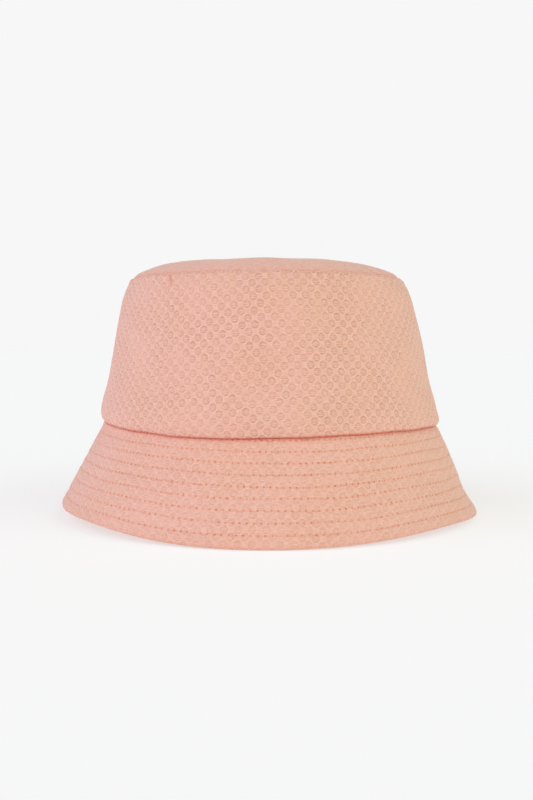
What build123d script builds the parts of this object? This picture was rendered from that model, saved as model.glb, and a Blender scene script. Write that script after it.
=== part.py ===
"""Bucket hat: a soft domed crown, a steep quilted brim, a lining and a sweatband.

Units are millimetres. The hat stands on the edge of its brim: the origin is the middle of that rest plane,
+Z is up and -Y is the front. Each cloth piece is a closed solid cut from a strip that is turned about Z,
and every ring is then stretched front to back, because a head is longer than it is wide.
Radii below are half-widths from side to side, before that stretch.
"""
from build123d import *
import math
import os

# ---- Driving dimensions ----
OVAL = 1.08                 # front-to-back width over side-to-side width
TOP_Z = 142.2               # highest point of the domed tip
TIP_SEAM_R = 75.2           # seam between the tip and the crown sides
TIP_SEAM_Z = 130.3
SHOULDER_R = 82.9           # where the rounded shoulder becomes the straight wall
SHOULDER_Z = 112.0
WALL_FOOT_R = 91.5          # straight wall just above the rolled foot
WALL_FOOT_Z = 70.0
ROLL_R = 95.5               # fullest part of the rolled foot, which hangs over the brim
ROLL_Z = 55.0
BRIM_TOP_R = 93.6           # brim's upper edge, sewn under the rolled foot
BRIM_TOP_Z = 48.6
BRIM_EDGE_R = 117.0         # brim's lower edge, on the rest plane
FOOT_GAP = 0.7              # between the rolled foot and the brim, where the seam draws them together

SHELL_T = 0.9               # ribbed outer fabric
INTERLINING_T = 0.7         # stiff cloth inside the brim
LINING_T = 0.35
SWEATBAND_T = 1.0
LABEL_T = 0.3
PLY_GAP = 0.1               # between two cloths that lie together
THREAD_R = 0.22
THREAD_SIDES = 8            # flat sides, not round, so that a mesh of so thin a ring keeps its volume
THREAD_LIFT = 0.08          # clear space under a laid thread
LINING_SAG = 1.3            # the tip's lining hangs this far below the fabric

BRIM_ROWS = 9               # rows of quilting round the brim
ROW_PITCH = 5.7             # from one row to the next, along the slope
EDGE_TO_ROW = 7.0           # brim edge to the lowest row
EDGE_TURN = 2.5             # the interlining stops this far above the edge
BELOW_REST = (0.8, 2.0)     # how far the brim's line runs on past the rest plane, outwards and down
SWEATBAND_H = 28.0
SEAM_GAP_DEG = 0.1          # half of the gap at a side seam
FRONT, BACK = 270.0, 90.0   # directions round the hat, in degrees from +X
LEFT = 0.0                  # the wearer's left
SIZE_LABEL_DEG = 12.0       # how far each label reaches round the hat
CARE_LABEL_DEG = 16.0
STRIP_STEPS = 10            # steps along a strip's two long sides

# Where the smaller pieces start and stop, as shares of the way down the line that they lie on
LINING_TIP_END = 0.975
TIP_THREAD_AT = 0.016       # down the crown sides, just under the tip seam
SWEATBAND_THREAD_AT = 0.93
SIZE_LABEL_SHARES = (0.2, 0.8)
CARE_LABEL_SHARES = (0.32, 0.6)
INTERLINING_START = 0.01


def curve(*points):
    """A smooth line in the XZ plane, drawn from the top of the hat downwards, as (radius, height) pairs."""
    return Spline(*[(r, 0, z) for r, z in points])


# ---- Outer faces of the hat, from the middle of the tip to the edge of the brim ----
TIP_LINE = Spline(
    (0, 0, TOP_Z),
    (0.7 * TIP_SEAM_R, 0, TOP_Z - 2.4),
    (0.87 * TIP_SEAM_R, 0, TOP_Z - 6.0),
    (TIP_SEAM_R, 0, TIP_SEAM_Z),
    tangents=((1, 0, 0), (0.7, 0, -0.7)),
)
WALL_LINE = curve(
    (TIP_SEAM_R + 0.4, TIP_SEAM_Z - 0.5),
    (SHOULDER_R - 3.4, SHOULDER_Z + 12.5),
    (SHOULDER_R, SHOULDER_Z),
    (88.6, 87.0),
    (WALL_FOOT_R, WALL_FOOT_Z),
    (ROLL_R - 0.7, ROLL_Z + 4.0),
    (ROLL_R, ROLL_Z),
    (ROLL_R - 0.3, ROLL_Z - 3.0),
    (BRIM_TOP_R - 0.2, BRIM_TOP_Z + FOOT_GAP),
)
BRIM_LINE = curve(
    (BRIM_TOP_R, BRIM_TOP_Z),
    (98.7, 38.6),
    (104.9, 25.7),
    (111.2, 12.9),
    (114.6, 6.2),
    (BRIM_EDGE_R, 0.0),
    (BRIM_EDGE_R + BELOW_REST[0], -BELOW_REST[1]),
)
# Lining and sweatband leave the rolled foot and run straight down to the seam.
LINING_LINE = curve(
    (TIP_SEAM_R - 1.8, TIP_SEAM_Z - 3.2),
    (SHOULDER_R - 4.9, SHOULDER_Z + 11.0),
    (SHOULDER_R - 1.5, SHOULDER_Z),
    (87.1, 87.0),
    (WALL_FOOT_R - 1.5, WALL_FOOT_Z),
    (91.7, 60.0),
    (92.0, 51.5),
)
SWEATBAND_FOOT_Z = BRIM_TOP_Z + 1.4
SWEATBAND_LINE = curve(
    (88.4, SWEATBAND_FOOT_Z + SWEATBAND_H),
    (90.0, SWEATBAND_FOOT_Z + 0.5 * SWEATBAND_H),
    (90.9, SWEATBAND_FOOT_Z),
)


def inside(line, share, depth):
    """The point that lies depth inside a line, a share of the way along it."""
    at = line @ share
    along = line % share
    return (at.X + depth * along.Z, 0, at.Z - depth * along.X)


def strip(line, depth, thickness, start=0.0, end=1.0):
    """Flat face between the two curves that run depth, and depth plus thickness, inside a line."""
    shares = [start + (end - start) * step / STRIP_STEPS for step in range(STRIP_STEPS + 1)]
    near = [inside(line, share, depth) for share in shares]
    far = [inside(line, share, depth + thickness) for share in reversed(shares)]
    sides = [Spline(*near), Line(near[-1], far[0]), Spline(*far), Line(far[-1], near[0])]
    return Face(Wire([side.edge() for side in sides]))


def turned(face, middle=FRONT, span=360.0):
    """A flat face turned about Z through span degrees, centred on a direction, then stretched to the oval."""
    solid = revolve(face, axis=Axis.Z, revolution_arc=span)
    return scale(Rot(0, 0, middle - span / 2) * solid, by=(1, OVAL, 1))


def half(face, middle):
    """Half of a ring, front or back, between the two side seams."""
    return turned(face, middle, 180.0 - 2 * SEAM_GAP_DEG)


def above_rest(shape):
    """The part of a shape above the rest plane, with a flat foot."""
    return split(shape, bisect_by=Plane.XY, keep=Keep.TOP)


def brim_share(from_edge):
    """Share of the way down the brim's line that lies a distance above its lower edge."""
    return 1.0 - (from_edge + math.hypot(*BELOW_REST)) / BRIM_LINE.length


def thread(line, share, face_depth=0.0, side=-1):
    """One closed run of thread round the hat, lying outside (side -1) or inside (side 1) a cloth face."""
    depth = face_depth + side * (THREAD_R + THREAD_LIFT)
    r, _, z = inside(line, share, depth)
    upright = Plane(origin=(r, 0, z), x_dir=(1, 0, 0), z_dir=(0, -1, 0))
    return turned(upright * RegularPolygon(THREAD_R, THREAD_SIDES))


# ---- Pieces ----
def crown():
    tip = strip(TIP_LINE, 0, SHELL_T)
    wall = strip(WALL_LINE, 0, SHELL_T)
    return {
        "crown_tip": turned(tip),
        "crown_side_front": half(wall, FRONT),
        "crown_side_back": half(wall, BACK),
    }


def brim():
    upper = strip(BRIM_LINE, 0, SHELL_T)
    interlining_depth = SHELL_T + PLY_GAP
    interlining = strip(
        BRIM_LINE, interlining_depth, INTERLINING_T, INTERLINING_START, brim_share(EDGE_TURN)
    )
    under = strip(BRIM_LINE, interlining_depth + INTERLINING_T + PLY_GAP, SHELL_T)
    return {
        "brim_upper_front": above_rest(half(upper, FRONT)),
        "brim_upper_back": above_rest(half(upper, BACK)),
        "brim_interlining": turned(interlining),
        "brim_under_front": above_rest(half(under, FRONT)),
        "brim_under_back": above_rest(half(under, BACK)),
    }


def inner_pieces():
    lining_tip = strip(TIP_LINE, SHELL_T + LINING_SAG, LINING_T, 0.0, LINING_TIP_END)
    lining_side = strip(LINING_LINE, 0, LINING_T)
    sweatband = strip(SWEATBAND_LINE, 0, SWEATBAND_T)
    size_label = strip(SWEATBAND_LINE, SWEATBAND_T + PLY_GAP, LABEL_T, *SIZE_LABEL_SHARES)
    care_label = strip(LINING_LINE, LINING_T + PLY_GAP, LABEL_T, *CARE_LABEL_SHARES)
    return {
        "lining_tip": turned(lining_tip),
        "lining_side_front": half(lining_side, FRONT),
        "lining_side_back": half(lining_side, BACK),
        "sweatband": turned(sweatband, BACK, 360.0 - SEAM_GAP_DEG),
        "size_label": turned(size_label, BACK, SIZE_LABEL_DEG),
        "care_label": turned(care_label, LEFT, CARE_LABEL_DEG),
    }


def threads():
    """Every visible run of stitching, as one closed ring of thread."""
    rings = {
        "tip_topstitch": thread(WALL_LINE, TIP_THREAD_AT),
        "sweatband_stitch": thread(SWEATBAND_LINE, SWEATBAND_THREAD_AT, SWEATBAND_T, 1),
    }
    for row in range(BRIM_ROWS):
        from_edge = EDGE_TO_ROW + (BRIM_ROWS - 1 - row) * ROW_PITCH
        rings[f"brim_stitch_row_{row + 1}"] = thread(BRIM_LINE, brim_share(from_edge))
    return rings


os.makedirs("parts", exist_ok=True)
for node, shape in {**crown(), **brim(), **inner_pieces(), **threads()}.items():
    export_step(shape, f"parts/{node}.step")
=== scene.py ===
"""Looks of the bucket hat: jacquard cloth with ribbed dimples, ring quilting, stitches, lining and labels.

Shapes are worked out in millimetres and become metres when a mesh is made. A place on the hat is given by
s, the distance down a profile line, and t, the angle round the hat from the middle of the front.
"""
import math
import bpy
import numpy as np
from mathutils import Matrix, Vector


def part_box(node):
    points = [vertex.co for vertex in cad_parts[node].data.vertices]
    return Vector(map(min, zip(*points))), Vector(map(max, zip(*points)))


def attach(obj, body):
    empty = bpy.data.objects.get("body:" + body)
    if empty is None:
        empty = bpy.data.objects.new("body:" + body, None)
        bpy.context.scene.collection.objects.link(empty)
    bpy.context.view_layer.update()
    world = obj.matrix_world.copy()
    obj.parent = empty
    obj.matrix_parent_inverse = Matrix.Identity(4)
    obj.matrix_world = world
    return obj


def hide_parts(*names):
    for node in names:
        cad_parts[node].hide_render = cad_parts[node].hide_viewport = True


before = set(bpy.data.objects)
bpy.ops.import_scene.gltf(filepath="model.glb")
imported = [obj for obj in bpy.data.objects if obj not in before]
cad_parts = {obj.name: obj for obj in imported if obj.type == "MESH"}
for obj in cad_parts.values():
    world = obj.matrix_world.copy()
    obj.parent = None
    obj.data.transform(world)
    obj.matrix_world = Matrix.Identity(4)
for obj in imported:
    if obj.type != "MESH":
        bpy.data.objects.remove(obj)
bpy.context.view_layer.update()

MM = 0.001
TURN = 2 * math.pi


# ---------------------------------------- sizes, from the CAD frame
def cad(node):
    low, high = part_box(node)
    return [c / MM for c in low], [c / MM for c in high]


TIP_R = cad("crown_tip")[1][0]
TOP_Z = cad("crown_tip")[1][2]
WALL_TOP_Z = cad("crown_side_front")[1][2]
ROLL_R = cad("crown_side_front")[1][0]
BRIM_TOP_Z = cad("brim_upper_front")[1][2]
BRIM_EDGE_R = cad("brim_upper_front")[1][0]
OVAL = cad("brim_upper_back")[1][1] / BRIM_EDGE_R
BAND_LOW_Z = cad("sweatband")[0][2]
BAND_HIGH_Z = cad("sweatband")[1][2]
ROWS = sum(1 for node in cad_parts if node.startswith("brim_stitch_row_"))
BAND_R = cad("sweatband")[1][0]

SHELL_T = 0.9               # outer cloth
LINING_GAP = 2.4            # from the shell's face to the lining, under the tip
SEAM_Z = WALL_TOP_Z + 0.5   # tip seam
BRIM_TOP_R = ROLL_R - 1.9

# ---------------------------------------- cloth and stitch sizes, mm
DIMPLE_PITCH = (6.5, 7.0)   # across and down; a second lattice sits half a step along both
DIMPLE_R = 1.75
RIB_PITCH = DIMPLE_PITCH[1] / 6
STITCH = 3.1                # from one needle hole to the next, on the brim
TIP_STITCH = 2.2
TIP_ROW_S = 1.5             # the tip seam's stitches, below the seam
ROW_PITCH = 5.7
EDGE_TO_ROW = 7.0           # brim edge to the lowest row
ROW_SHIFT = 0.37            # each row's stitches are moved along by this share of one
THREAD_WIDE, THREAD_HIGH = 0.20, 0.11    # half-widths of a stitch pressed flat in the cloth
GRAIN = math.radians(-3.0)  # the front panel is cut a little off the straight grain
FINE = 0.58                 # mesh step on the outer cloth
PLAIN = 1.6                 # mesh step on smooth cloth


# ---------------------------------------- lines and rings
def hill(x, middle, width):
    """1 at the middle, falling smoothly to almost nothing two widths away."""
    return np.exp(-(((x - middle) / width) ** 2))


def fade(distance, length):
    """1 at no distance, and about a third as much with each length further."""
    return np.exp(-distance / length)


def swell(x, size, middle, width):
    return size * hill(x, middle, width)


def powers(terms, x):
    """A polynomial from its powers and their sizes."""
    return sum(size * x**power for power, size in terms.items())


class Profile:
    """A smooth line through (radius, height) points, measured by the distance along it."""

    def __init__(self, points, from_middle=False):
        knots = np.array(points, float)
        if from_middle:
            knots = np.vstack([knots[:0:-1] * [-1, 1], knots])
        chord = np.r_[0, np.cumsum(np.hypot(*np.diff(knots, axis=0).T))]
        line = natural_spline(chord, knots, np.linspace(0, chord[-1], 3000))
        if from_middle:
            line = line[line[:, 0] >= 0]
            line[0, 0] = 0.0
        self.line = line
        self.s = np.r_[0, np.cumsum(np.hypot(*np.diff(line, axis=0).T))]
        self.length = self.s[-1]
        self.way = np.gradient(line, self.s, axis=0)

    def at(self, s):
        """Radius, height, and the outward normal's two parts."""
        r, z, dr, dz = (np.interp(s, self.s, c) for c in (*self.line.T, *self.way.T))
        size = np.hypot(dr, dz)
        return r, z, -dz / size, dr / size


def natural_spline(knot, value, at):
    """Natural cubic spline of each column of value."""
    n = len(knot)
    step = np.diff(knot)
    matrix = np.eye(n)
    right = np.zeros_like(value)
    for i in range(1, n - 1):
        matrix[i, i - 1:i + 2] = step[i - 1], 2 * (step[i - 1] + step[i]), step[i]
        right[i] = 6 * ((value[i + 1] - value[i]) / step[i] - (value[i] - value[i - 1]) / step[i - 1])
    bend = np.linalg.solve(matrix, right)
    i = np.clip(np.searchsorted(knot, at) - 1, 0, n - 2)
    h, a, b = step[i, None], (knot[i + 1] - at)[:, None], (at - knot[i])[:, None]
    return (
        (bend[i] * a**3 + bend[i + 1] * b**3) / (6 * h)
        + (value[i] / h - bend[i] * h / 6) * a
        + (value[i + 1] / h - bend[i + 1] * h / 6) * b
    )


RING_T = np.linspace(-TURN, TURN, 8001)
RING_ARC = np.r_[0, np.cumsum(np.hypot(np.diff(np.sin(RING_T)), OVAL * np.diff(np.cos(RING_T))))]
RING_ARC -= np.interp(0, RING_T, RING_ARC)


def arc_of(t):
    """Distance round an oval ring of half-width 1, from the middle of the front."""
    return np.interp(t, RING_T, RING_ARC)


def angle_of(arc):
    return np.interp(arc, RING_ARC, RING_T)


RING_LENGTH = 2 * arc_of(math.pi)
FRONT, LEFT_SIDE, BACK = 0.0, math.pi / 2, math.pi      # the wearer's left
HALVES = (("front", FRONT), ("back", BACK))


def angles(start, end, radius, step):
    """Angles from start to end, evenly spaced along the ring, about step millimetres apart."""
    a, b = arc_of(start), arc_of(end)
    count = max(4, int(round((b - a) * radius / step)))
    return angle_of(np.linspace(a, b, count + 1))


def whole_ring(radius, step):
    return angles(-math.pi, math.pi, radius, step)


def half_ring(middle, gap, radius, step):
    """Angles over the front or back half of the hat, ending a small gap short of its side seams."""
    reach = math.pi / 2 - gap
    return angles(middle - reach, middle + reach, radius, step)


RESTING = 0.3               # how softly the lowest cloth is pressed flat by the ground
# Rise of the crown's foot and of the brim's edge, by powers of how far to the right a place is, from -1 to 1
LEAN = {1: 2.7, 2: 3.05, 3: -7.4, 4: -1.05, 5: 4.0}
LIFT = {0: 0.45, 2: 6.1, 3: -2.04, 4: 10.85, 6: -16.7, 9: -0.45, 20: 1.9, 21: -0.9}
LEAN_REACH = 34             # how far above and below the crown's foot the lean is felt
LIFT_CURVE = 1.3            # how the lift grows from the crown's foot to the brim's edge
TIP_TILT = 0.1
SHIFT = 1.5                 # the brim is moved this far to the right, and the tip to the left
TIP_ZONE = 100, 40          # height where the tip's shift starts, and how far up it grows


def grounded(z):
    return (z + np.hypot(z, RESTING)) / 2


def settle(points):
    """The soft hat's own lean: the left side of the brim stands higher, and its edge lifts off the ground
    between the front, back and sides."""
    x, y, z = points[..., 0], points[..., 1], points[..., 2]
    side = np.sin(np.arctan2(OVAL * x, -y))
    foot = hill(z, BRIM_TOP_Z, LEAN_REACH)
    below = np.clip((BRIM_TOP_Z + 3 - z) / 6, 0, 1)
    low = np.clip(1 - z / BRIM_TOP_Z, 0, 1)
    high = np.clip((z - TIP_ZONE[0]) / TIP_ZONE[1], 0, 1)
    z = z + powers(LEAN, side) * foot + powers(LIFT, side) * low**LIFT_CURVE - TIP_TILT * side * high**2
    x = x + SHIFT * foot * below - SHIFT * high**2
    return np.stack([x, y, grounded(z)], -1)


def surface(profile, s, t):
    """Half-width, point and outward normal at each place."""
    r, z, out, up = profile.at(s)
    sin, cos = np.sin(t), np.cos(t)
    level = np.stack([OVAL * sin, -cos, 0 * sin], -1) / np.hypot(OVAL * sin, cos)[..., None]
    normal = level * out[..., None]
    normal[..., 2] = up
    return r, np.stack([r * sin, -OVAL * r * cos, z], -1), normal


class Patch:
    """A grid of places on the hat, with the outward normal at each."""

    def __init__(self, profile, s, t):
        self.s, self.t = np.meshgrid(s, t, indexing="ij")
        self.arc = arc_of(self.t)
        self.r, self.base, self.normal = surface(profile, self.s, self.t)

    def raised(self, height):
        return settle(self.base + self.normal * height[..., None])


WAVE_COUNT = 6


def waves(seed, u, v, length):
    """Smooth irregular field between about -1 and 1, with features about length long."""
    rng = np.random.default_rng(seed)
    field = 0 * u
    for _ in range(WAVE_COUNT):
        turn, phase, scale = rng.uniform(0, TURN, 2).tolist() + [rng.uniform(0.7, 1.5)]
        field = field + np.sin(TURN / length / scale * (u * math.cos(turn) + v * math.sin(turn)) + phase)
    return field / math.sqrt(WAVE_COUNT) / 1.2


def ring_waves(seed, t, low, high, count=5):
    """Smooth irregular field round a closed ring, made of low to high waves per turn."""
    rng = np.random.default_rng(seed)
    field = 0 * t
    for k in rng.integers(low, high + 1, count):
        field = field + rng.uniform(0.5, 1) * np.sin(int(k) * t + rng.uniform(0, TURN))
    return field / math.sqrt(count) / 0.8


# ---------------------------------------- cloth relief
def lattice_distance(u, v):
    """Distance to the nearest dimple's middle."""
    across, down = DIMPLE_PITCH
    best = None
    for half in (0.0, 0.5):
        a, b = u / across + half, v / down + half
        far = np.hypot((a - np.round(a)) * across, (b - np.round(b)) * down)
        best = far if best is None else np.minimum(best, far)
    return best


def dimples(u, v):
    """Depth of the dimples: a pressed ring round a slightly sunk disc."""
    far = lattice_distance(u, v)
    disc = 1 / (1 + np.exp((far - DIMPLE_R) / 0.18))
    return -0.14 * hill(far, DIMPLE_R, 0.42) - 0.03 * disc


def stitch_pull(rows, phase):
    """How a row of stitches draws the cloth in: a groove, deeper at each needle hole."""
    off = (rows - np.round(rows)) * ROW_PITCH
    along = ((phase + ROW_SHIFT * np.round(rows)) % 1.0 - 0.5) * STITCH
    return -0.012 * hill(off, 0, 0.8) - 0.08 * hill(off, 0, 0.6) * hill(along, 0, 0.65)


def seam_edge(distance, depth, width):
    """The cloth turns down into a seam."""
    return -depth * fade(distance, width)


# ---------------------------------------- meshes
def unit(vectors):
    return vectors / np.linalg.norm(vectors, axis=-1, keepdims=True)


def mesh_object(name, vertices, faces, maps, material):
    """A smooth mesh in metres from a grid or list of millimetre points, with one UV map per entry of maps."""
    mesh = bpy.data.meshes.new(name)
    vertices = vertices.reshape(-1, 3)
    mesh.vertices.add(len(vertices))
    mesh.vertices.foreach_set("co", (vertices * MM).ravel())
    sides = faces.shape[1]
    mesh.loops.add(faces.size)
    mesh.loops.foreach_set("vertex_index", faces.ravel())
    mesh.polygons.add(len(faces))
    mesh.polygons.foreach_set("loop_start", np.arange(0, faces.size, sides))
    for label, uv in maps.items():
        layer = mesh.uv_layers.new(name=label)
        layer.data.foreach_set("uv", uv.reshape(-1, 2)[faces.ravel()].ravel())
    mesh.update(calc_edges=True)
    mesh.polygons.foreach_set("use_smooth", np.full(len(faces), True))
    mesh.materials.append(material)
    piece = bpy.data.objects.new(name, mesh)
    bpy.context.scene.collection.objects.link(piece)
    return piece


def grid_faces(rows, columns):
    """Four-sided faces between the points of a grid."""
    i = np.arange(rows * columns).reshape(rows, columns)
    return np.stack([i[:-1, :-1], i[1:, :-1], i[1:, 1:], i[:-1, 1:]], -1).reshape(-1, 4)


HEM_STEPS = (0.35, 1.0)     # shares of the cloth's thickness
GRID_EDGES = {"top": (0, 0), "bottom": (0, -1), "left": (1, 0), "right": (1, -1)}


def grown(grid, side, strips):
    """A grid with strips added along one of its edges."""
    axis, at = GRID_EDGES[side]
    return np.concatenate([grid, *strips] if at else [*strips[::-1], grid], axis)


def with_hems(points, maps, inward, sides):
    """The grid with its named edges turned in by one cloth thickness, so that no cut edge looks thin."""
    steps = len(HEM_STEPS)
    for side in sides:
        axis, at = GRID_EDGES[side]
        edge, turn_in = np.take(points, [at], axis), np.take(inward, [at], axis)
        points = grown(points, side, [edge + depth * turn_in for depth in HEM_STEPS])
        inward = grown(inward, side, [turn_in] * steps)
        maps = {label: grown(uv, side, [np.take(uv, [at], axis)] * steps) for label, uv in maps.items()}
    return points, maps


def cloth(name, patch, height, maps, material, hems=(), flip=False):
    """One cloth piece from a patch of the hat, raised by height along the normal."""
    points = patch.raised(height)
    inward = -patch.normal * SHELL_T * (-1 if flip else 1)
    points, maps = with_hems(points, maps, inward, hems)
    faces = grid_faces(*points.shape[:2])
    return mesh_object(name, points, faces[:, ::-1] if flip else faces, maps, material)


def finish_piece(piece, slot, *nodes):
    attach(piece, "root")
    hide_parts(*nodes)


# ---------------------------------------- materials
CLOTH_SPECULAR = 0.25


class Graph:
    """A material's nodes, with arithmetic written as calls."""

    def __init__(self, name):
        self.material = bpy.data.materials.new(name)
        self.material.use_nodes = True
        self.nodes = self.material.node_tree.nodes
        self.links = self.material.node_tree.links
        self.shader = self.nodes["Principled BSDF"]

    def add(self, kind, inputs=(), **settings):
        node = self.nodes.new(kind)
        for key, value in settings.items():
            setattr(node, key, value)
        for index, value in dict(inputs).items():
            if isinstance(value, bpy.types.NodeSocket):
                self.links.new(value, node.inputs[index])
            else:
                node.inputs[index].default_value = value
        return node

    def math(self, operation, *values):
        node = self.add("ShaderNodeMath", dict(enumerate(values)), operation=operation)
        return node.outputs[0]

    def smooth(self, value, low, high, start=0.0, end=1.0):
        node = self.add(
            "ShaderNodeMapRange", {0: value, 1: low, 2: high, 3: start, 4: end},
            interpolation_type="SMOOTHSTEP",
        )
        return node.outputs[0]

    def uv(self, label):
        node = self.add("ShaderNodeUVMap", uv_map=label)
        parts = self.add("ShaderNodeSeparateXYZ", {0: node.outputs[0]})
        return parts.outputs[0], parts.outputs[1], node.outputs[0]

    def stretched(self, vector, across, down):
        node = self.add("ShaderNodeVectorMath", {0: vector, 1: (across, down, 1.0)}, operation="MULTIPLY")
        return node.outputs[0]

    def noise(self, vector, scale, detail=2.0, roughness=0.5):
        node = self.add(
            "ShaderNodeTexNoise",
            {"Vector": vector, "Scale": scale, "Detail": detail, "Roughness": roughness},
        )
        return node.outputs["Fac"]

    def mix(self, factor, first, second):
        node = self.add("ShaderNodeMix", data_type="RGBA")
        for socket, value in zip((node.inputs[0], node.inputs[6], node.inputs[7]), (factor, first, second)):
            if isinstance(value, bpy.types.NodeSocket):
                self.links.new(value, socket)
            else:
                socket.default_value = value
        return node.outputs[2]

    def bump(self, height, distance, strength=1.0, under=None):
        inputs = {"Strength": strength, "Distance": distance, "Height": height}
        if under is not None:
            inputs["Normal"] = under
        return self.add("ShaderNodeBump", inputs).outputs[0]

    def done(self, color, roughness, normal, sheen=0.0):
        for name, value in (("Base Color", color), ("Roughness", roughness), ("Normal", normal)):
            if isinstance(value, bpy.types.NodeSocket):
                self.links.new(value, self.shader.inputs[name])
            else:
                self.shader.inputs[name].default_value = value
        self.shader.inputs["Sheen Weight"].default_value = sheen
        self.shader.inputs["Sheen Roughness"].default_value = 0.5
        self.shader.inputs["Specular IOR Level"].default_value = CLOTH_SPECULAR
        return self.material


def linear(red, green, blue):
    """A display colour, 0 to 255, as the shader's linear colour."""
    parts = [c / 255 for c in (red, green, blue)]
    return (*[p / 12.92 if p <= 0.04045 else ((p + 0.055) / 1.055) ** 2.4 for p in parts], 1.0)


CLOTH = linear(234, 181, 161)
CLOTH_PINK = linear(236, 183, 166)
CLOTH_TAN = linear(232, 179, 154)
# painted highlight colour, for the dimple cloth's glints
CLOTH_GLINT = linear(252, 212, 196)
CLOTH_RING = linear(206, 122, 96)
CLOTH_DISC = linear(226, 170, 142)
# painted shade in the needle holes and along the stitch rows
HOLE_SHADE = linear(226, 116, 58)
SEAM_SHADE = linear(206, 72, 32)
LINING = linear(226, 184, 160)
THREAD = linear(244, 190, 164)
BAND = linear(224, 176, 154)
FELT = linear(238, 236, 230)
LABEL = linear(244, 242, 238)
LINING_SHADE = linear(220, 176, 151)
BAND_SHADE = linear(216, 166, 142)
FELT_SHADE = linear(214, 210, 200)
LABEL_SHADE = linear(228, 224, 218)
PAPER = linear(247, 247, 247)

# how strongly each part of the dimple cloth is coloured; the valleys between the ribs are painted shade
DISC_TONE, ARC_TONE, VALLEY_SHADE, PICK_SHADE = 0.24, 0.52, 0.30, 0.16
# painted highlights: on the rim round each dimple, the crests of its ribs, the picks and loose fibres
RIM_GLINT, CREST_GLINT, PICK_GLINT, FIBRE_GLINT = 0.36, 0.30, 0.48, 0.22
ROW_GROOVE_SHADE, HOLE_SHADE_TONE = 0.03, 0.9
HOLE_REACH = 0.25, 0.78     # from a needle hole's middle: where its painted shade starts to fade, and where it ends
BAND_RIB = 1.05             # from one cross rib to the next
TWIST_PITCH = 0.55


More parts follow.
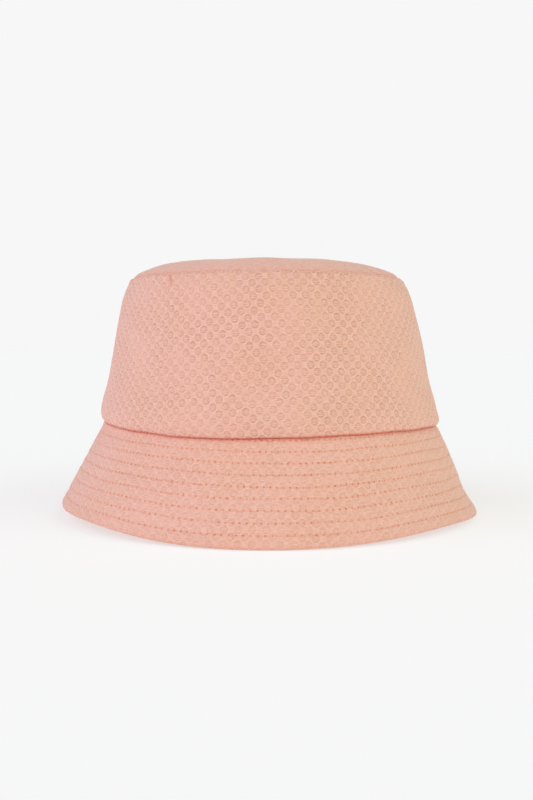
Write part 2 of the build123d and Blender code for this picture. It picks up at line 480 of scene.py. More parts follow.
def dimple_cloth():
    """Jacquard: rows of round, ribbed dimples in a fine weave, and a needle hole at each stitch; painted
    highlights and painted shade are mixed into its colour.
    """
    g = Graph("dimple_cloth")
    u, v, flat = g.uv("flat")
    across, down = DIMPLE_PITCH
    found = []
    for half in (0.0, 0.5):
        parts = []
        for axis, pitch in ((u, across), (v, down)):
            cell = g.math("MULTIPLY_ADD", axis, 1 / pitch, half)
            parts.append(g.math("MULTIPLY", g.math("SUBTRACT", cell, g.math("ROUND", cell)), pitch))
        squares = [g.math("MULTIPLY", p, p) for p in parts]
        found.append((g.math("ADD", *squares), parts[1]))
    near = g.math("LESS_THAN", found[0][0], found[1][0])
    far = g.math("SQRT", g.math("MINIMUM", found[0][0], found[1][0]))
    up = g.math(
        "ADD", g.math("MULTIPLY", near, found[0][1]),
        g.math("MULTIPLY", g.math("SUBTRACT", 1.0, near), found[1][1]),
    )
    # Threads turn at the top and bottom of each dimple, so its outline is strongest there; the top arc is
    # painted darker still, as shade from light above.
    rise = g.math("DIVIDE", up, g.math("MAXIMUM", far, 0.2))
    turning_and_top_shade = g.math("MULTIPLY", g.math("MULTIPLY", rise, rise), g.smooth(rise, -1.0, 1.0, 0.55, 1.2))
    ring = g.math(
        "MULTIPLY", g.smooth(far, DIMPLE_R - 0.7, DIMPLE_R - 0.12),
        g.smooth(far, DIMPLE_R + 0.02, DIMPLE_R + 0.5, 1.0, 0.0),
    )
    disc = g.smooth(far, DIMPLE_R - 0.55, DIMPLE_R, 1.0, 0.0)
    rim = g.math(
        "MULTIPLY", g.smooth(far, DIMPLE_R + 0.1, DIMPLE_R + 0.5),
        g.smooth(far, DIMPLE_R + 0.55, DIMPLE_R + 1.0, 1.0, 0.0),
    )
    rib = g.math("MULTIPLY_ADD", g.math("SINE", g.math("MULTIPLY", v, TURN / RIB_PITCH)), 0.5, 0.5)
    ribs = g.math("MULTIPLY", disc, rib)
    uneven = g.noise(flat, 0.30, 3.0, 0.6)
    fibre = g.noise(flat, 2.4, 2.0, 0.6)
    picks = g.noise(g.stretched(flat, 0.42, 1.9), 1.0, 2.0, 0.55)

    shade, clear, _ = g.uv("tone")
    patchy = g.noise(flat, 0.045, 2.0, 0.5)
    clear = g.math("MULTIPLY", clear, g.smooth(patchy, 0.3, 0.65, 0.6, 1.1))
    broad = g.noise(flat, 0.03, 3.0, 0.55)
    color = g.mix(g.smooth(broad, 0.35, 0.65), CLOTH_PINK, CLOTH_TAN)
    color = g.mix(0.5, color, CLOTH)
    color = g.mix(g.math("MULTIPLY", g.math("MULTIPLY", disc, clear), DISC_TONE), color, CLOTH_DISC)
    glint = g.math("MULTIPLY", g.math("MULTIPLY", rim, clear), g.smooth(uneven, 0.35, 0.65, 0.0, RIM_GLINT))
    color = g.mix(glint, color, CLOTH_GLINT)
    arc = g.math("MULTIPLY", ring, g.math("MULTIPLY_ADD", turning_and_top_shade, 0.66, 0.34))
    arc = g.math("MULTIPLY", arc, g.smooth(uneven, 0.30, 0.66, 0.30, 1.2))
    arc = g.math("MULTIPLY", arc, clear)
    color = g.mix(g.math("MULTIPLY", arc, ARC_TONE), color, CLOTH_RING)
    # painted shade in the valleys between the ribs
    valley = g.math("MULTIPLY", g.math("MULTIPLY", disc, clear), g.math("SUBTRACT", 1.0, rib))
    color = g.mix(g.math("MULTIPLY", valley, VALLEY_SHADE), color, CLOTH_RING)
    crest = g.smooth(uneven, 0.35, 0.6, 0.05, CREST_GLINT)
    crest = g.math("MULTIPLY", g.math("MULTIPLY", ribs, clear), crest)
    color = g.mix(crest, color, CLOTH_GLINT)
    color = g.mix(g.smooth(picks, 0.50, 0.72, 0.0, PICK_GLINT), color, CLOTH_GLINT)
    color = g.mix(g.smooth(picks, 0.50, 0.26, 0.0, PICK_SHADE), color, CLOTH_RING)
    color = g.mix(g.smooth(fibre, 0.55, 0.72, 0.0, FIBRE_GLINT), color, CLOTH_GLINT)

    phase, row, _ = g.uv("rows")
    nearest = g.math("ROUND", row)
    off = g.math("MULTIPLY", g.math("SUBTRACT", row, nearest), ROW_PITCH)
    along = g.math("SUBTRACT", g.math("FRACT", g.math("MULTIPLY_ADD", nearest, ROW_SHIFT, phase)), 0.5)
    along = g.math("MULTIPLY", along, STITCH)
    reach = g.math("SQRT", g.math("ADD", g.math("MULTIPLY", off, off), g.math("MULTIPLY", along, along)))
    hole = g.math("MULTIPLY", g.smooth(reach, *HOLE_REACH, 1.0, 0.0), g.smooth(uneven, 0.3, 0.65, 0.3, 1.0))
    halo = g.smooth(g.math("ABSOLUTE", off), 0.2, 1.2, 1.0, 0.0)
    # painted shade along each stitch row's groove and in each needle hole
    color = g.mix(g.math("MULTIPLY", halo, ROW_GROOVE_SHADE), color, HOLE_SHADE)
    color = g.mix(g.math("MULTIPLY", hole, HOLE_SHADE_TONE), color, HOLE_SHADE)
    # painted shade in seams, creases, under the rolled foot, along the brim's edge and lightly over the tip
    color = g.mix(shade, color, SEAM_SHADE)

    relief = g.math("MULTIPLY_ADD", ring, -0.5, 0.6)
    relief = g.math("MULTIPLY_ADD", ribs, 0.38, relief)
    relief = g.math("MULTIPLY", relief, clear)
    relief = g.math("MULTIPLY_ADD", hole, -0.3, relief)
    coarse = g.bump(relief, 0.32 * MM)
    fine = g.math("MULTIPLY_ADD", picks, 0.8, g.math("MULTIPLY", fibre, 0.5))
    normal = g.bump(fine, 0.20 * MM, 1.0, coarse)
    roughness = g.math("MULTIPLY_ADD", fibre, 0.14, 0.80)
    return g.done(color, roughness, normal, sheen=0.34)


def woven(name, base, shade, pitch, depth, sheen=0.1, roughness=0.82):
    """Plain weave with threads pitch apart."""
    g = Graph(name)
    u, v, flat = g.uv("flat")
    picks = g.math("SINE", g.math("MULTIPLY", v, TURN / pitch))
    ends = g.math("SINE", g.math("MULTIPLY", u, TURN / pitch))
    weave = g.math("MULTIPLY", picks, ends)
    slub = g.noise(flat, 0.9, 3.0, 0.6)
    broad = g.noise(flat, 0.05, 2.0)
    color = g.mix(g.smooth(broad, 0.3, 0.7), base, shade)
    color = g.mix(g.math("MULTIPLY_ADD", weave, 0.10, 0.12), color, shade)
    height = g.math("MULTIPLY_ADD", weave, 0.5, slub)
    return g.done(color, g.math("MULTIPLY_ADD", slub, 0.12, roughness - 0.06), g.bump(height, depth), sheen)


def ribbed_band():
    """Ribbed sweatband tape."""
    g = Graph("ribbed_band")
    u, _, flat = g.uv("flat")
    rib = g.math("SINE", g.math("MULTIPLY", u, TURN / BAND_RIB))
    fibre = g.noise(flat, 3.0, 2.0)
    broad = g.noise(flat, 0.06, 2.0)
    color = g.mix(g.smooth(broad, 0.3, 0.7), BAND, BAND_SHADE)
    # painted shade in the grooves between the ribs
    color = g.mix(g.smooth(rib, -1.0, -0.1, 0.35, 0.0), color, CLOTH_RING)
    height = g.math("MULTIPLY_ADD", rib, 0.5, g.math("MULTIPLY", fibre, 0.4))
    return g.done(color, g.math("MULTIPLY_ADD", fibre, 0.15, 0.62), g.bump(height, 0.25 * MM), 0.2)


def twisted_thread():
    """Spun sewing thread."""
    g = Graph("twisted_thread")
    u, v, flat = g.uv("flat")
    twist = g.math("SINE", g.math("MULTIPLY", g.math("ADD", u, v), TURN / TWIST_PITCH))
    fibre = g.noise(flat, 4.0, 2.0)
    # painted shade in the grooves of the twist
    color = g.mix(g.smooth(twist, -1.0, 0.6, 0.16, 0.0), THREAD, CLOTH_RING)
    color = g.mix(g.smooth(fibre, 0.4, 0.8, 0.0, 0.25), color, CLOTH)
    return g.done(color, g.math("MULTIPLY_ADD", fibre, 0.15, 0.58), g.bump(twist, 0.05 * MM), 0.15)


def felt():
    """Undyed non-woven stiffener: matted fibres."""
    g = Graph("felt")
    _, _, flat = g.uv("flat")
    fibre = g.noise(flat, 0.9, 4.0, 0.7)
    color = g.mix(g.smooth(fibre, 0.3, 0.7), FELT, FELT_SHADE)
    return g.done(color, g.math("MULTIPLY_ADD", fibre, 0.1, 0.85), g.bump(fibre, 0.2 * MM), 0.1)


OUTER = dimple_cloth()
LINING_CLOTH = woven("lining_cloth", LINING, LINING_SHADE, 0.55, 0.10 * MM)
BAND_TAPE = ribbed_band()
THREAD_CORD = twisted_thread()
SATIN = woven("label_satin", LABEL, LABEL_SHADE, 0.35, 0.05 * MM, 0.3, 0.48)
FELT_PLY = felt()

# ---------------------------------------- profile lines, from the CAD frame's sizes
TIP = Profile(
    [(0, TOP_Z - 2.4), (0.7 * TIP_R, TOP_Z - 3.9), (0.87 * TIP_R, TOP_Z - 6.9), (TIP_R, SEAM_Z)],
    from_middle=True,
)
WALL = Profile([
    (TIP_R + 0.3, SEAM_Z),
    (ROLL_R - 16.0, SEAM_Z - 5.8),
    (ROLL_R - 12.6, SEAM_Z - 18.3),
    (ROLL_R - 6.9, 87.0),
    (ROLL_R - 4.0, 70.0),
    (ROLL_R - 0.7, 59.0),
    (ROLL_R, 55.0),
    (ROLL_R - 0.1, 52.0),
    (ROLL_R - 0.6, BRIM_TOP_Z + 1.3),
    (ROLL_R - 1.4, BRIM_TOP_Z - 0.1),
    (ROLL_R - 2.5, BRIM_TOP_Z - 0.2),
    (ROLL_R - 3.3, BRIM_TOP_Z + 0.5),
])
BRIM = Profile([
    (BRIM_TOP_R - 0.3, BRIM_TOP_Z + 0.5),
    (98.7, 38.6),
    (104.9, 25.7),
    (111.2, 12.9),
    (BRIM_EDGE_R - 2.4, 6.2),
    (BRIM_EDGE_R - 0.15, 0.75),
])
UNDER_DEPTH = 2.6
UNDER_EDGE = 1.7            # where the under cloth meets the upper one, back from the edge
LINING_LINE = Profile([
    (TIP_R - 2.0, SEAM_Z - 2.2),
    (ROLL_R - 17.5, SEAM_Z - 7.3),
    (ROLL_R - 14.1, SEAM_Z - 18.3),
    (ROLL_R - 8.4, 87.0),
    (ROLL_R - 5.5, 70.0),
    (ROLL_R - 3.8, 60.0),
    (ROLL_R - 3.5, 51.5),
])
BAND_LINE = Profile([
    (BAND_R - 2.5, BAND_HIGH_Z),
    (BAND_R - 0.9, (BAND_LOW_Z + BAND_HIGH_Z) / 2),
    (BAND_R + 0.2, BAND_LOW_Z - 1.8),
])


# ---------------------------------------- stitch rows on the brim
STRAY_REACH = math.radians(20)  # where the rows stray most, to each side of the front
STRAY_FADE = 0.085          # how much less each row strays than the one above
ROW_DROP, ROW_WOBBLE = 0.18, 0.22
PAST_ROWS = 0.49            # rows past the outer ones; under a half, so that it rounds to a real row


def brim_row(row, t):
    """Distance down the brim of a quilting row; the upper rows stray most, low on the right of the front."""
    even = BRIM.length - EDGE_TO_ROW - (ROWS - 1 - row) * ROW_PITCH
    turn = (t + math.pi) % TURN - math.pi
    stray = turn / STRAY_REACH
    bend = (1 - STRAY_FADE * row) * stray * np.exp(0.5 - 0.5 * stray**2)
    return even + bend + ROW_DROP * row + ROW_WOBBLE * ring_waves(40 + row, t, 3, 17)


def brim_rows_at(s, t):
    """Row coordinate: whole numbers lie on the rows, and outside them it stops short of the next."""
    rows = np.array([brim_row(row, t) for row in range(ROWS)])
    above = rows[0] - ROW_PITCH * PAST_ROWS
    below = rows[-1] + ROW_PITCH * PAST_ROWS
    knots = np.vstack([above, rows, below])
    index = np.r_[-PAST_ROWS, np.arange(ROWS), ROWS - 1 + PAST_ROWS]
    out = np.empty((len(s), len(t)))
    for column in range(len(t)):
        out[:, column] = np.interp(s, knots[:, column], index)
    return out


def even_stitches(radius, length=STITCH):
    """Stitches in one turn at this half-width, as a whole number."""
    return int(round(RING_LENGTH * radius / length))


# ---------------------------------------- crown
WALL_SLOPE = 0.185          # the wall's cone: growth in half-width for each millimetre down
BRIM_SLOPE = 0.436
BACK_GRAIN = -0.02
UPPER_GRAIN, UNDER_GRAIN = 0.02, -0.015
WALL_SLIT, BRIM_SLIT, LINING_SLIT = 0.0006, 0.0005, 0.001  # from a cloth's end to the side seam, in radians


def cone_flat(patch, slope, middle_r, middle_s, turn, grain, shift):
    """Where each place lies on the flat-cut panel of a cone, in mm, for the panel centred on angle turn."""
    swing = (patch.arc - arc_of(turn)) * slope + grain
    reach = middle_r / slope + patch.s - middle_s
    return np.stack([reach * np.sin(swing) + shift[0], -reach * np.cos(swing) + shift[1]], -1)


def side_gap(patch, middle):
    """Distance along the ring to the nearer side seam."""
    half = arc_of(math.pi / 2)
    return np.maximum((half - np.abs(patch.arc - arc_of(middle))) * patch.r, 0)


def tone(shade, clear):
    """Painted shade, in seams, creases, under the rolled foot, along the brim's edge and lightly over the
    tip, and how clear the dimples are, for the cloth's material.
    """
    return np.stack([np.clip(shade, 0, 1), np.broadcast_to(clear, shade.shape)], -1)


PUCKER = (-53.0, 4.5)       # a small pinch under the tip seam: round from the front, and down
PUCKER_DEPTH, PUCKER_SIZE = 0.5, (1.2, 4.0)
DIMPLE_START = 1.5          # from a seam, where the dimples come in
# Swells of the wall: height, their middle's distance from an edge, and width
TOP_SWELL = 0.45, 2.0, 1.8
TOP_PUCKERS = 0.30, 3, 6
FOOT_PUCKERS = 0.16, 7, 4
FOOT_BULGE = 1.7, 5.0, 3.2  # on the right only, as is the next
LOW_BULGE = 0.8, 25, 14
SIDE_SWELL = 0.25, 4.0, 3.0
UNDERFOOT = 3.7, 1.3        # the rolled foot's shaded underside: where it starts, and how soon it is full


def make_wall(name, node, middle):
    s = np.linspace(0, WALL.length, int(WALL.length / FINE))
    patch = Patch(WALL, s, half_ring(middle, WALL_SLIT, ROLL_R - 5, FINE))
    mid_s = WALL.length * 0.5
    mid_r = float(WALL.at(mid_s)[0])
    grain = GRAIN if middle == FRONT else BACK_GRAIN
    flat = cone_flat(patch, WALL_SLOPE, mid_r, mid_s, middle, grain, (1.1, 2.0))
    top, foot, gap = patch.s, WALL.length - patch.s, side_gap(patch, middle)
    around = patch.arc * patch.r
    right = np.clip(np.sin(patch.t), 0, 1)
    height = dimples(flat[..., 0], flat[..., 1]) * (1 - fade(top, DIMPLE_START))
    height += 0.75 * waves(3, around, patch.s, 95) * np.clip(top / 18, 0, 1)
    height += 0.28 * waves(5, around, patch.s, 38) * np.clip(top / 10, 0, 1)
    height += ring_waves(11, patch.t, 38, 66, 7) * swell(top, *TOP_PUCKERS)
    height += swell(top, *TOP_SWELL)
    height += ring_waves(12, patch.t, 22, 44, 6) * swell(foot, *FOOT_PUCKERS)
    height += right**4 * (swell(foot, *FOOT_BULGE) + swell(foot, *LOW_BULGE))
    height += seam_edge(top, 0.6, 0.7) + seam_edge(gap, 0.7, 0.9)
    height += swell(gap, *SIDE_SWELL)
    phase = patch.arc / RING_LENGTH * even_stitches(TIP_R, TIP_STITCH)
    row = np.minimum((patch.s - TIP_ROW_S) / ROW_PITCH, PAST_ROWS)
    height += stitch_pull(row, phase)
    pucker = hill(around, PUCKER[0], PUCKER_SIZE[0]) * hill(top, PUCKER[1], PUCKER_SIZE[1])
    height -= PUCKER_DEPTH * pucker
    shade = 0.12 * fade(top, 0.5) + 0.4 * fade(gap, 0.6) + 0.3 * pucker
    shade += 0.95 * np.clip((UNDERFOOT[0] - foot) / UNDERFOOT[1], 0, 1)
    maps = {"flat": flat, "rows": np.stack([phase, row], -1), "tone": tone(shade, 1.0)}
    piece = cloth(name, patch, height, maps, OUTER, ("top", "bottom", "left", "right"))
    finish_piece(piece, "outer_fabric", node)


# Where the soft tip stands up or sinks: height, middle from side to side, and width
TIP_SWELLS = ((1.1, -52, 14), (-0.6, -38, 8), (-0.9, -8, 10), (0.5, 20, 15), (0.9, 38, 22))
SWELL_DEPTH = 50            # front to back
EDGE_PUCKERS = 0.36, 3.0, 7
EDGE_SWELL = 0.25, 4.5, 3.2
TIP_GRAIN = 0.06            # the tip's grain lies a little off the front
TIP_PAINTED_SHADE = 0.05             # painted shade: the tip is drawn a little darker than the walls, as less light falls on it


def make_tip():
    s = np.linspace(0.02, TIP.length, int(TIP.length / FINE))
    patch = Patch(TIP, s, whole_ring(TIP_R, FINE * 1.15))
    x, y = patch.base[..., 0], patch.base[..., 1]
    edge = TIP.length - patch.s
    inner = np.clip(edge / 14, 0, 1)
    cos, sin = math.cos(TIP_GRAIN), math.sin(TIP_GRAIN)
    flat = np.stack([x * cos - y * sin, x * sin + y * cos], -1)
    height = dimples(flat[..., 0], flat[..., 1]) * (1 - fade(edge, DIMPLE_START))
    height += (0.3 * waves(21, x, y, 90) + 0.3 * waves(22, x, y, 40) - 0.3) * inner
    for place in TIP_SWELLS:
        height += swell(x, *place) * hill(y, 0, SWELL_DEPTH)
    height += ring_waves(23, patch.t, 30, 58, 7) * swell(edge, *EDGE_PUCKERS)
    height += swell(edge, *EDGE_SWELL) + seam_edge(edge, 0.7, 0.9)
    shade = TIP_PAINTED_SHADE + 0.15 * fade(edge, 0.6)
    maps = {"flat": flat, "rows": np.full(patch.s.shape + (2,), 0.5), "tone": tone(shade, 0.5)}
    piece = cloth("crown_tip_cloth", patch, height, maps, OUTER, ("bottom",))
    finish_piece(piece, "outer_fabric", "crown_tip")


# ---------------------------------------- brim
# Swells of the brim, as those of the wall, each measured from the brim's edge
RIGHT_FLARE = 1.5, 0, 8     # on the right only, as is the next
RIGHT_HOLLOW = -0.75, 14, 6
EDGE_HOLLOW = -0.55, 6.0, 3.5
PUFF = 0.08


def brim_sway(s, t):
    """The brim's soft waves, growing towards its edge, which flares a little below the lowest row."""
    edge, right = BRIM.length - s, np.clip(np.sin(t), 0, 1) ** 6
    flare = right * (swell(edge, *RIGHT_FLARE) + swell(edge, *RIGHT_HOLLOW)) + swell(edge, *EDGE_HOLLOW)
    sway = 0.6 * ring_waves(31, t, 2, 5, 4) + 0.2 * ring_waves(32, t, 7, 15, 5)
    return (s / BRIM.length) ** 1.5 * sway + flare


def quilt_puff(rows):
    """The cloth stands up a little between two rows."""
    between = np.abs(rows - np.round(rows)) * 2
    return PUFF * np.sin(between * math.pi / 2) ** 0.8


LIP_TURNS = (30, 62, 95, 130, 165)      # degrees round the brim's edge
LIP_R = 0.85
LIP_TUCK = (2.4, 1.4)       # the turned cloth's end, just inside the under cloth: back from the edge, and in
LIP_RINGS = len(LIP_TURNS) + 1


def round_edge(grid, patch, maps):
    """Carries the upper cloth round the brim's edge to where the under cloth meets it."""
    lip, normal = grid[-1:], patch.normal[-1:]
    way = unit(lip - grid[-3:-2])
    turns = [
        lip + LIP_R * (way * math.sin(angle) - normal * (1 - math.cos(angle)))
        for angle in np.radians(LIP_TURNS)
    ]
    back, depth = LIP_TUCK
    turns.append(lip - back * way - depth * normal)
    for turned in turns:
        turned[..., 2] = grounded(turned[..., 2])
    longer = {}
    for label, uv in maps.items():
        step = (uv[-1:] - uv[-2:-1]) if label == "flat" else 0 * uv[-1:]
        longer[label] = np.concatenate([uv, *[uv[-1:] + step * (k + 1) for k in range(LIP_RINGS)]], 0)
    return np.concatenate([grid, *turns], 0), longer


CALM = 0.6, 0.9             # how much fainter the dimples are on a stitch row, and how far from it


def make_brim(name, node, middle, under):
    s = np.linspace(0, BRIM.length - (UNDER_EDGE if under else 0), int(BRIM.length / FINE))
    t = half_ring(middle, BRIM_SLIT, BRIM_EDGE_R - 10, FINE * (1.25 if under else 1.0))
    patch = Patch(BRIM, s, t)
    mid_s = BRIM.length * 0.5
    mid_r = float(BRIM.at(mid_s)[0])
    grain = UNDER_GRAIN if under else UPPER_GRAIN
    flat = cone_flat(patch, BRIM_SLOPE, mid_r, mid_s, middle, grain, (2.4, 0.6))
    rows = brim_rows_at(s, t)
    phase = patch.arc / RING_LENGTH * even_stitches(mid_r)
    calm = 1 - CALM[0] * hill((rows - np.round(rows)) * ROW_PITCH, 0, CALM[1])
    edge, gap = BRIM.length - patch.s, side_gap(patch, middle)
    relief = dimples(flat[..., 0], flat[..., 1]) * calm + quilt_puff(rows) + stitch_pull(rows, phase)
    relief += 0.10 * waves(33, patch.arc * patch.r, patch.s * 2, 16) + seam_edge(gap, 0.6, 0.9)
    sway = brim_sway(patch.s, patch.t)
    shade = 0.85 * fade(patch.s, 0.9) + 0.03 * fade(edge, 3.5) + 0.35 * fade(gap, 0.6)
    shade += 0.10 * fade(edge, 0.5)
    maps = {"flat": flat, "rows": np.stack([phase, rows], -1), "tone": tone(shade, 0.6)}
    hems = ("top", "left", "right")
    if under:
        height = sway - UNDER_DEPTH - relief + 1.1 * fade(edge - UNDER_EDGE, 1.6)
        piece = cloth(name, patch, height, maps, OUTER, hems, flip=True)
    else:
        grid, maps = round_edge(patch.raised(relief + sway - 0.1 * fade(edge, 1.1)), patch, maps)
        turned = np.repeat(patch.normal[-1:], LIP_RINGS, 0)
        inward = -np.concatenate([patch.normal, turned], 0) * SHELL_T
        grid, maps = with_hems(grid, maps, inward, hems)
        grid[..., 2] = np.maximum(grid[..., 2], 0)
        piece = mesh_object(name, grid, grid_faces(*grid.shape[:2]), maps, OUTER)
    finish_piece(piece, "outer_fabric", node)


PLY_ENDS = 0.6, 2.6         # the stiff ply's distance from the brim's seam and edge
PLY_DEPTHS = 1.05, 1.65     # of its face and back


def make_stiffener():
    """The stiff ply inside the brim: a closed ring with a face and a back."""
    s = np.linspace(PLY_ENDS[0], BRIM.length - PLY_ENDS[1], 40)
    patch = Patch(BRIM, s, whole_ring(BRIM_EDGE_R, PLAIN))
    sway = brim_sway(patch.s, patch.t)
    face, back = [patch.raised(sway - depth) for depth in PLY_DEPTHS]
    points = np.concatenate([face, back[::-1]], 0)
    around = np.stack([patch.arc * BRIM_EDGE_R, patch.s], -1)
    flat = np.concatenate([around, around[::-1]], 0)
    rows, columns = points.shape[:2]
    faces = grid_faces(rows + 1, columns) % (rows * columns)    # the last row closes onto the first
    piece = mesh_object("brim_stiffener", points, faces, {"flat": flat}, FELT_PLY)
    finish_piece(piece, "interlining", "brim_interlining")
    # a half of the ply's ring, which is not used
    half = Patch(BRIM, s, half_ring(FRONT, 0, BRIM_EDGE_R, PLAIN))


# ---------------------------------------- stitches
TUBE_SIDES = 6
TUBE_STEP = 0.2             # from one side of the thread to the next, round it
# One stitch: places along it, as shares of its length, and how far each lies above the cloth
STITCH_SHAPE = (
    (-0.5, -0.5), (-0.43, -0.2), (-0.25, 0.0), (0.0, 0.05), (0.25, 0.0), (0.43, -0.2), (0.5, -0.5),
)
STITCH_ALONG, STITCH_RISE = np.array(STITCH_SHAPE).T
STITCH_SHARE = 0.82         # of the distance between two needle holes
SLACK = 0.03


def stitch_ring(name, node, profile, s_of, height_of, count, sides=((1, 0.0),), phase_shift=0.0):
    """Separate stitches round one row: each rises from a needle hole, lies on the cloth and dips into
    the next."""
    vertices, maps, faces = [], [], []
    ring = np.arange(TUBE_SIDES) * TURN / TUBE_SIDES
    rng = np.random.default_rng(len(name) * 17 + count)
    own = np.arange(len(STITCH_SHAPE) * TUBE_SIDES).reshape(-1, TUBE_SIDES)
    along = np.repeat(STITCH_ALONG * STITCH, TUBE_SIDES)
    round_it = np.tile(np.arange(TUBE_SIDES) * TUBE_STEP, len(STITCH_SHAPE))
    for side, depth in sides:
        for k in range(count):
            slack = rng.uniform(-SLACK, SLACK)
            share = (k + 0.5 - phase_shift + STITCH_ALONG * STITCH_SHARE) / count
            t = angle_of((share - 0.5) * RING_LENGTH)
            s = s_of(t)
            _, base, normal = surface(profile, s, t)
            lift = side * (STITCH_RISE + slack) - depth
            centre = base + normal * (height_of(s, t) + lift)[:, None]
            way = unit(np.gradient(centre, axis=0))
            across = unit(np.cross(way, normal))
            over = np.cross(across, way)
            loop = (
                centre[:, None] + THREAD_WIDE * across[:, None] * np.cos(ring)[:, None]
                + THREAD_HIGH * over[:, None] * np.sin(ring)[:, None]
            )
            i = own + len(vertices) * own.size
            j = np.roll(i, -1, axis=1)
            vertices.append(settle(loop).reshape(-1, 3))
            maps.append(np.stack([along + k * STITCH, round_it], -1))
            faces.append(np.stack([i[:-1], j[:-1], j[1:], i[1:]], -1).reshape(-1, 4))
    piece = mesh_object(name, np.vstack(vertices), np.vstack(faces), {"flat": np.vstack(maps)}, THREAD_CORD)
    finish_piece(piece, "thread", node)


TIP_THREAD_LIFT = 0.08
BRIM_THREAD_SINK = 0.06
UNDER_THREAD_DEPTH = UNDER_DEPTH - 0.12
BAND_T = 1.0                # depth of the sweatband's inner face
BAND_THREAD_AT = 0.87       # share of the way down the sweatband
BAND_THREAD_DEPTH = 0.12


def make_stitches():
    stitch_ring(
        "tip_stitches", "tip_topstitch", WALL, lambda t: 0 * t + TIP_ROW_S,
        lambda s, t: 0 * t + TIP_THREAD_LIFT, even_stitches(TIP_R, TIP_STITCH), phase_shift=0.5,
    )
    count = even_stitches(float(BRIM.at(BRIM.length * 0.5)[0]))
    for row in range(ROWS):
        stitch_ring(
            f"brim_stitches_row_{row + 1}", f"brim_stitch_row_{row + 1}", BRIM,
            lambda t, row=row: brim_row(row, t), lambda s, t: brim_sway(s, t) - BRIM_THREAD_SINK,
            count, sides=((1, 0.0), (-1, UNDER_THREAD_DEPTH)), phase_shift=0.5 + ROW_SHIFT * row,
        )
    stitch_ring(
        "sweatband_stitches", "sweatband_stitch", BAND_LINE,
        lambda t: 0 * t + BAND_THREAD_AT * BAND_LINE.length,
        lambda s, t: 0 * t - BAND_T, even_stitches(BAND_R), sides=((-1, BAND_THREAD_DEPTH),),
    )


# ---------------------------------------- inside
LINING_TIP_END = 0.985      # share of the tip's line
LINING_TUCK = 1.2, 2.5      # how far the lining's tip turns in at its seam, and over what distance


def make_lining():
    s = np.linspace(0, LINING_LINE.length, int(LINING_LINE.length / PLAIN))
    for label, middle in HALVES:
        patch = Patch(LINING_LINE, s, half_ring(middle, LINING_SLIT, ROLL_R - 10, PLAIN))
        height = -0.12 - 0.25 * (1 + ring_waves(51, patch.t, 30, 52, 6)) * fade(patch.s, 14)
        height -= 0.18 * (1 + waves(52, patch.arc * patch.r, patch.s, 30))
        flat = cone_flat(patch, WALL_SLOPE, ROLL_R - 8, LINING_LINE.length / 2, middle, 0.0, (0, 0))
        piece = cloth(f"lining_side_cloth_{label}", patch, height, {"flat": flat}, LINING_CLOTH, flip=True)
        finish_piece(piece, "lining", f"lining_side_{label}")
    end = TIP.length * LINING_TIP_END
    patch = Patch(TIP, np.linspace(0.05, end, int(TIP.length / PLAIN)), whole_ring(TIP_R, PLAIN))
    x, y = patch.base[..., 0], patch.base[..., 1]
    edge = end - patch.s
    height = -LINING_GAP + 0.35 * waves(53, x, y, 48) * np.clip(edge / 12, 0, 1)
    height -= 0.2 * (1 + ring_waves(54, patch.t, 26, 48, 6)) * fade(edge, 10)
    height -= LINING_TUCK[0] * fade(edge, LINING_TUCK[1])
    flat = np.stack([x, y], -1)
    piece = cloth("lining_tip_cloth", patch, height, {"flat": flat}, LINING_CLOTH, flip=True)
    finish_piece(piece, "lining", "lining_tip")


def make_band():
    """The sweatband: a folded tape, so it is closed, with a rounded upper edge."""
    s = np.linspace(0, BAND_LINE.length, 30)
    patch = Patch(BAND_LINE, s, whole_ring(BAND_R, PLAIN))
    soft = 0.16 * ring_waves(61, patch.t, 20, 45, 6) * (patch.s / BAND_LINE.length)
    inner = patch.raised(soft * 0.6 - BAND_T)
    outer = patch.raised(0 * soft)
    lip = patch.raised(0 * soft - BAND_T / 2)[:1] + [0, 0, 0.45]
    points = np.concatenate([outer[::-1], lip, inner], 0)
    around = patch.arc * BAND_R
    back = np.stack([around, -patch.s], -1)[::-1]
    face = np.stack([around, patch.s], -1)
    flat = np.concatenate([back, (back[-1:] + face[:1]) / 2, face], 0)
    faces = grid_faces(*points.shape[:2])[:, ::-1]
    piece = mesh_object("sweatband_tape", points, faces, {"flat": flat}, BAND_TAPE)
    finish_piece(piece, "sweatband", "sweatband")


PLY_APART = 0.28            # between a label's two plies
FOLD_DROP = 0.22
LABEL_GRID = 26, 22         # places down and across


def make_label(name, node, profile, start, end, middle, width, depth, sag):
    """A folded satin ribbon, left blank: two plies joined at the lower fold."""
    s = np.linspace(start * profile.length, end * profile.length, LABEL_GRID[0])
    half = width / 2 / float(profile.at(s[0])[0])
    patch = Patch(profile, s, np.linspace(middle - half, middle + half, LABEL_GRID[1]))
    down = (patch.s - s[0]) / (s[-1] - s[0])
    across = (patch.t - middle) / half
    curl = sag * down**2 * (1 + 0.35 * across) + 0.12 * np.sin(across * 3 + down * 4) * down
    back = patch.raised(-depth - curl * 0.7)
    front = patch.raised(-depth - PLY_APART - curl)
    fold = patch.raised(-depth - PLY_APART / 2 - curl * 0.85)[-1:] - [0, 0, FOLD_DROP]
    points = np.concatenate([back, fold, front[::-1]], 0)
    ply = np.stack([across * width / 2, patch.s], -1)
    flat = np.concatenate([ply, ply[-1:], ply[::-1]], 0)
    piece = mesh_object(name, points, grid_faces(*points.shape[:2]), {"flat": flat}, SATIN)
    finish_piece(piece, "label", node)


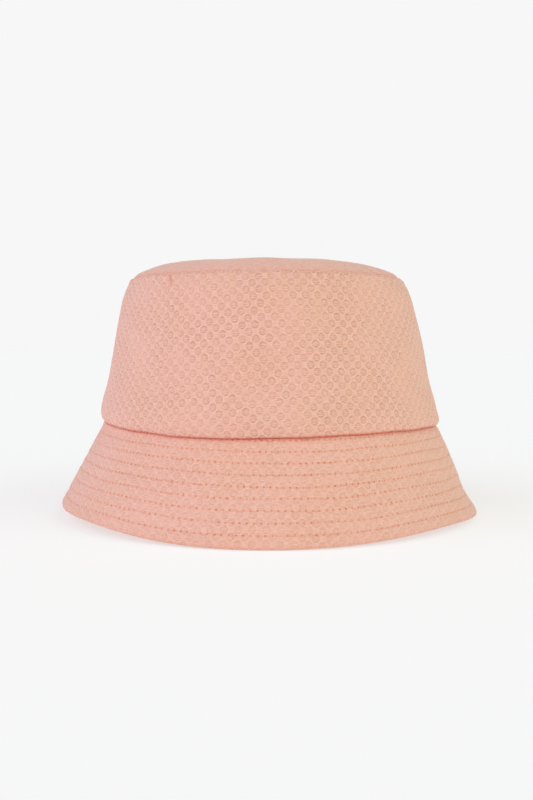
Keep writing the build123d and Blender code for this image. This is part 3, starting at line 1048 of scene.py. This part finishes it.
# ---------------------------------------- camera, light and floor
CAMERA_PLACE = (-0.0007, -0.575, 0.093)
CAMERA_PITCH = math.radians(3.11)
SKY_LIGHT = 0.64, 0.27      # at the horizon and overhead
LEFT_SKY = (1.0, 1.0, 1.20, 1)
RIGHT_SKY = (0.96, 1.03, 0.84, 1)
LAMPS = (("left_lamp", -1, 1.36, (1.02, 0.985, 1.12)), ("right_lamp", 1, 1.26, (0.99, 1.04, 0.88)))
LAMP_WAY = (0.85, -0.42, 0.50)
LAMP_SPREAD = 75
FLOOR_SIZE = 40
FLOOR_TONE = 0.45
FLOOR_GLOW = 0.573


def look_from(position, pitch, yaw):
    camera = bpy.data.objects.new("camera", bpy.data.cameras.new("camera"))
    bpy.context.scene.collection.objects.link(camera)
    camera.location = position
    camera.rotation_euler = (math.pi / 2 - pitch, 0, yaw)
    camera.data.lens, camera.data.sensor_width = 45, 36
    camera.data.clip_start = 0.01
    bpy.context.scene.camera = camera


def sun(name, direction, strength, spread, color):
    lamp = bpy.data.lights.new(name, "SUN")
    lamp.energy = strength
    lamp.angle = math.radians(spread)
    lamp.color = color
    holder = bpy.data.objects.new(name, lamp)
    bpy.context.scene.collection.objects.link(holder)
    holder.rotation_euler = Vector(direction).to_track_quat("Z", "Y").to_euler()


def studio():
    """Wide pale lit floor under an even sky, with a broad soft lamp on each side of the camera."""
    scene = bpy.context.scene
    scene.view_settings.view_transform = "Standard"
    world = bpy.data.worlds.new("studio")
    world.use_nodes = True
    scene.world = world
    nodes, links = world.node_tree.nodes, world.node_tree.links
    sky = nodes["Background"]
    place = nodes.new("ShaderNodeTexCoord")
    parts = nodes.new("ShaderNodeSeparateXYZ")
    ramp = nodes.new("ShaderNodeMapRange")
    blend = nodes.new("ShaderNodeMix")
    blend.data_type = "RGBA"
    blend.inputs[6].default_value = LEFT_SKY
    blend.inputs[7].default_value = RIGHT_SKY
    rise = nodes.new("ShaderNodeMapRange")
    rise.inputs[3].default_value, rise.inputs[4].default_value = SKY_LIGHT
    links.new(parts.outputs[2], rise.inputs[0])
    links.new(rise.outputs[0], sky.inputs[1])
    links.new(place.outputs["Generated"], parts.inputs[0])
    links.new(parts.outputs[0], ramp.inputs[0])
    ramp.inputs[1].default_value = -1.0
    links.new(ramp.outputs[0], blend.inputs[0])
    links.new(blend.outputs[2], sky.inputs[0])
    seen = nodes.new("ShaderNodeBackground")
    seen.inputs[0].default_value = PAPER
    ray = nodes.new("ShaderNodeLightPath")
    pick = nodes.new("ShaderNodeMixShader")
    links.new(ray.outputs["Is Camera Ray"], pick.inputs[0])
    links.new(sky.outputs[0], pick.inputs[1])
    links.new(seen.outputs[0], pick.inputs[2])
    links.new(pick.outputs[0], nodes["World Output"].inputs[0])
    across, back, height = LAMP_WAY
    for name, side, strength, color in LAMPS:
        sun(name, (side * across, back, height), strength, LAMP_SPREAD, color)
    bpy.ops.mesh.primitive_grid_add(x_subdivisions=4, y_subdivisions=4, size=FLOOR_SIZE)
    floor = bpy.context.object
    floor.name = "floor"
    g = Graph("pale_floor")
    place = g.add("ShaderNodeTexCoord").outputs["Object"]
    grain = g.noise(place, 40.0, 2.0)
    color = g.mix(grain, (FLOOR_TONE,) * 3 + (1,), (FLOOR_TONE * 0.998,) * 3 + (1,))
    floor.data.materials.append(g.done(color, 0.9, g.bump(grain, 0.01 * MM)))
    g.shader.inputs["Specular IOR Level"].default_value = 0.0
    g.shader.inputs["Emission Color"].default_value = (1, 1, 1, 1)
    g.shader.inputs["Emission Strength"].default_value = FLOOR_GLOW


look_from(CAMERA_PLACE, CAMERA_PITCH, 0.0)
studio()

# ---------------------------------------- the hat
for place, middle in HALVES:
    make_wall(f"crown_side_cloth_{place}", f"crown_side_{place}", middle)
make_tip()
for place, middle in HALVES:
    make_brim(f"brim_upper_cloth_{place}", f"brim_upper_{place}", middle, under=False)
    make_brim(f"brim_under_cloth_{place}", f"brim_under_{place}", middle, under=True)
make_stiffener()
make_stitches()
make_lining()
make_band()
make_label(
    "size_label_ribbon", "size_label", BAND_LINE,
    start=0.2, end=0.8, middle=BACK, width=20, depth=1.15, sag=0.5,
)
make_label(
    "care_label_ribbon", "care_label", LINING_LINE,
    start=0.32, end=0.6, middle=LEFT_SIDE, width=25, depth=0.5, sag=1.2,
)
